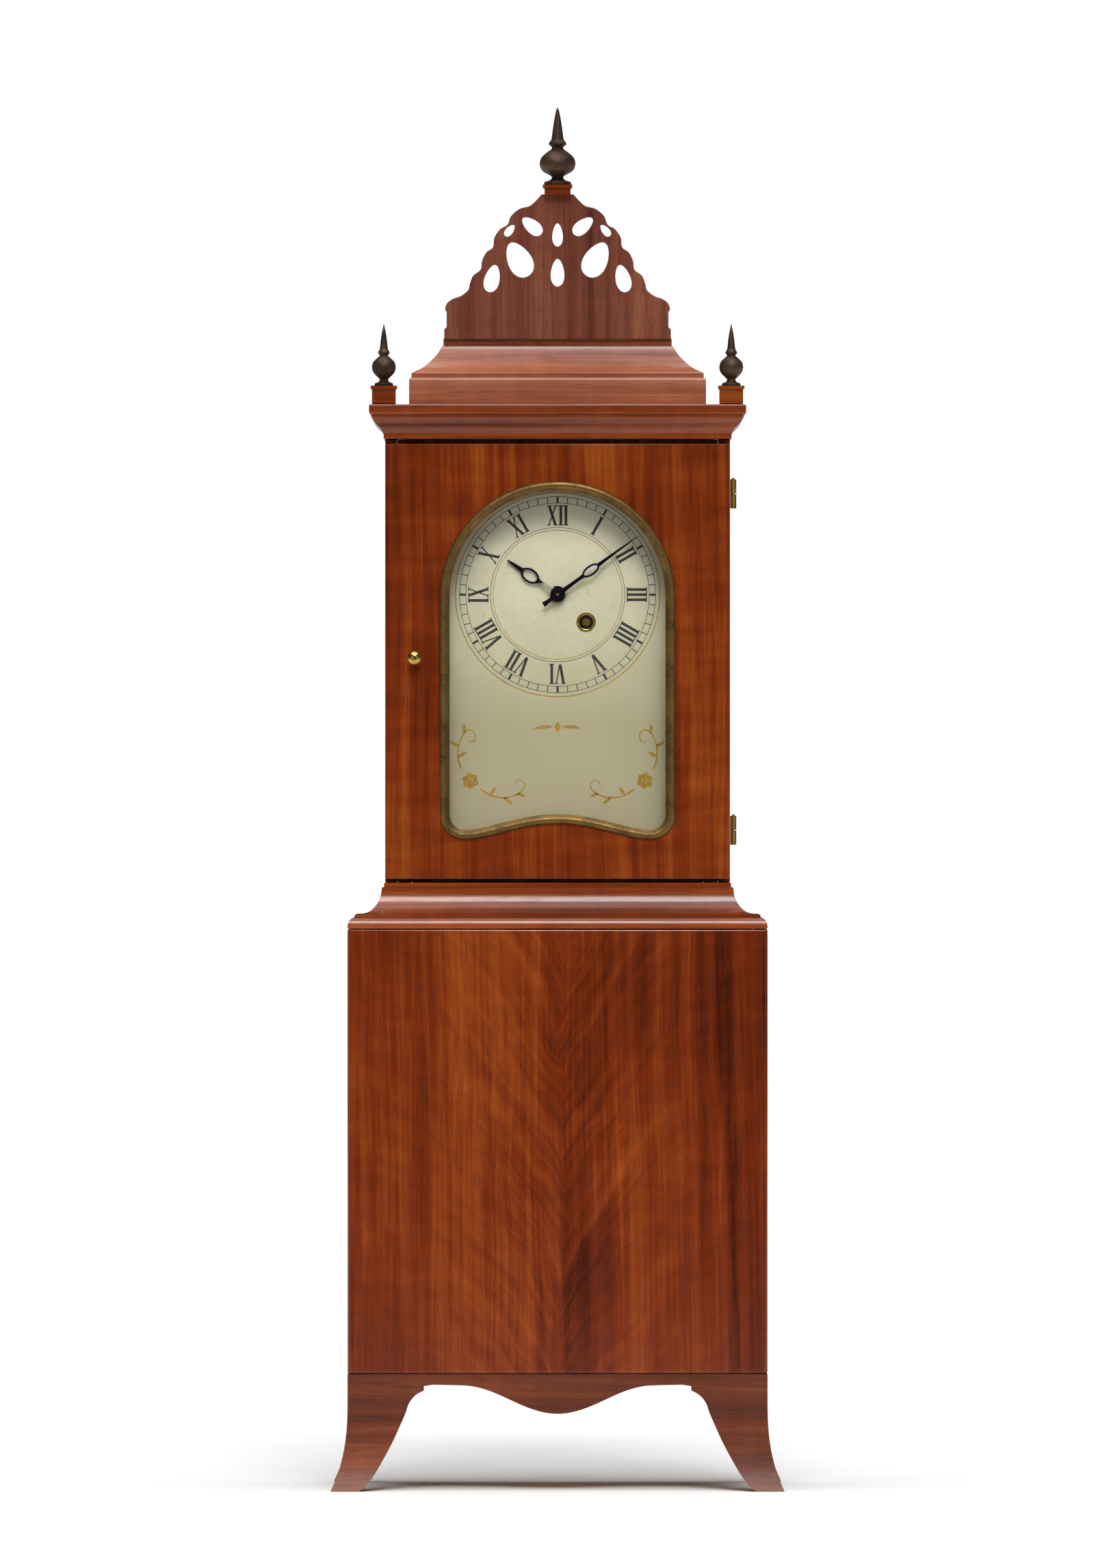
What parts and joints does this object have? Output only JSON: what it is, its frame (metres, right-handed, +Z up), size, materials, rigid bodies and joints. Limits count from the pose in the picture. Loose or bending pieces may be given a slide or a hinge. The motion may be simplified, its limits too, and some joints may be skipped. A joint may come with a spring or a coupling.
{
  "type": "shelf clock",
  "caption": "Tall two-part wooden shelf clock: glazed arched hood with pierced crest and finials, plain lower case, scalloped apron, splayed feet, weight-driven pendulum movement.",
  "frame": {"origin": "on the floor, at the middle of the bounding box's footprint", "axes": "+Z up, longest; front of the clock faces -Y, the shortest way; +X is to the viewer's right"},
  "size_m": [0.3102, 0.1664, 0.95],
  "materials": {
    "mahogany": "french polished",
    "veneer": "figured veneer, french polished",
    "secondary_wood": "planed, unfinished",
    "brass": "polished, lacquered",
    "dark_brass": "dark patina",
    "dial_paint": "cream oil paint, satin",
    "steel": "bright",
    "blued_steel": "blued",
    "iron": "painted dark",
    "gut": "twisted gut",
    "glass": "clear"
  },
  "bodies": {
    "case": {"lower_front_panel": "veneer", "lower_side_left": "veneer", "lower_side_right": "veneer", "base_board": "secondary_wood", "backboard": "secondary_wood", "skirt_front": "mahogany", "skirt_left": "mahogany", "skirt_right": "mahogany", "waist_moulding": "mahogany", "seat_board": "secondary_wood", "seat_bracket_left": "secondary_wood", "seat_bracket_right": "secondary_wood", "dial_plate": "dial_paint", "front_plate": "brass", "back_plate": "brass", "pillar_lower_left": "brass", "pillar_lower_right": "brass", "pillar_upper_left": "brass", "pillar_upper_right": "brass", "suspension_cock": "brass", "gut_line": "gut"},
    "hood": {"hood_side_left": "mahogany", "hood_side_right": "mahogany", "hood_top_board": "mahogany", "dial_mask": "mahogany", "cornice_moulding": "mahogany", "roof_moulding": "mahogany", "crest_fret": "mahogany", "crest_plinth": "mahogany", "finial_center": "dark_brass", "corner_plinth_left": "mahogany", "corner_plinth_right": "mahogany", "finial_left": "dark_brass", "finial_right": "dark_brass", "hood_hinge_lower": "brass", "hood_hinge_upper": "brass"},
    "door": {"hood_door_frame": "veneer", "hood_door_glass": "glass", "hood_door_bead": "brass", "door_leaf_lower": "brass", "door_leaf_upper": "brass"},
    "door_catch": {"hood_door_catch": "brass"},
    "centre_arbor": {"centre_wheel": "brass", "cannon_pinion": "brass", "minute_hand": "blued_steel"},
    "hour_pipe": {"hour_wheel": "brass", "hour_hand": "blued_steel"},
    "minute_work": {"minute_wheel": "brass"},
    "great_arbor": {"great_wheel": "brass"},
    "barrel_arbor": {"barrel": "brass"},
    "click_pawl": {"click": "steel"},
    "third_arbor": {"third_wheel": "brass"},
    "escape_arbor": {"escape_wheel": "brass"},
    "pendulum": {"suspension_spring": "steel", "pendulum_rod": "steel", "pendulum_bob": "brass", "rating_nut": "brass"},
    "pallets": {"anchor": "steel"},
    "drive_weight": {"weight": "iron"},
    "pulley": {"weight_pulley": "brass"}
  },
  "joints": [
    {"name": "hood_slide", "type": "slide", "parent": "case", "child": "hood", "axis": [0, -1, 0], "range_m": [0, 0.16]},
    {"name": "hood_door_hinge", "type": "hinge", "parent": "hood", "child": "door", "pos_m": [0.1207, -0.03395, 0.5675], "axis": [0, 0, 1], "range_deg": [0, 110]},
    {"name": "door_catch_turn", "type": "hinge", "parent": "door", "child": "door_catch", "pos_m": [-0.098, -0.0418, 0.57], "axis": [0, -1, 0], "range_deg": [0, 90]},
    {"name": "centre_turn", "type": "hinge", "parent": "case", "child": "centre_arbor", "pos_m": [0, 0.0082, 0.614], "axis": [0, 1, 0], "continuous": true},
    {"name": "hour_turn", "type": "hinge", "parent": "case", "child": "hour_pipe", "pos_m": [0, -0.0118, 0.614], "axis": [0, 1, 0], "continuous": true},
    {"name": "minute_work_turn", "type": "hinge", "parent": "case", "child": "minute_work", "pos_m": [-0.01273, -0.0088, 0.62673], "axis": [0, 1, 0], "continuous": true},
    {"name": "great_turn", "type": "hinge", "parent": "case", "child": "great_arbor", "pos_m": [0.0196, 0.0299, 0.5951], "axis": [0, 1, 0], "continuous": true},
    {"name": "third_turn", "type": "hinge", "parent": "case", "child": "third_arbor", "pos_m": [-0.016, 0.0082, 0.63189], "axis": [0, 1, 0], "continuous": true},
    {"name": "escape_turn", "type": "hinge", "parent": "case", "child": "escape_arbor", "pos_m": [0, 0.0082, 0.64308], "axis": [0, 1, 0], "continuous": true},
    {"name": "weight_lift", "type": "slide", "parent": "case", "child": "drive_weight", "axis": [0, 0, 1], "range_m": [0, 0.24], "deforming": ["gut_line"]},
    {"name": "barrel_wind", "type": "hinge", "parent": "great_arbor", "child": "barrel_arbor", "pos_m": [0.0196, 0.0132, 0.5951], "axis": [0, 1, 0], "range_deg": [0, 2140]},
    {"name": "pulley_spin", "type": "hinge", "parent": "drive_weight", "child": "pulley", "pos_m": [0.0177, 0.0102, 0.268], "axis": [0, 1, 0], "range_deg": [0, 1255]},
    {"name": "click_lift", "type": "hinge", "parent": "great_arbor", "child": "click_pawl", "pos_m": [0.0024, 0.0266, 0.5865], "axis": [0, -1, 0], "range_deg": [0, 8]},
    {"name": "pendulum_swing", "type": "hinge", "parent": "case", "child": "pendulum", "pos_m": [0, 0.0502, 0.6681], "axis": [0, 1, 0], "range_deg": [-3.5, 3.5]},
    {"name": "pallet_rock", "type": "hinge", "parent": "case", "child": "pallets", "pos_m": [0, 0.0122, 0.6681], "axis": [0, 1, 0], "range_deg": [-3.5, 3.5]}
  ],
  "couplings": [
    {"joint": "hour_turn", "follows": "centre_turn", "ratio": 0.083333},
    {"joint": "minute_work_turn", "follows": "centre_turn", "ratio": -0.33333},
    {"joint": "great_turn", "follows": "centre_turn", "ratio": -0.11111},
    {"joint": "third_turn", "follows": "centre_turn", "ratio": -9},
    {"joint": "escape_turn", "follows": "centre_turn", "ratio": 70.875},
    {"joint": "barrel_wind", "follows": "weight_lift", "rad_per_m": 155.04},
    {"joint": "pulley_spin", "follows": "weight_lift", "rad_per_m": 90.909},
    {"joint": "pallet_rock", "follows": "pendulum_swing", "ratio": 1}
  ]
}
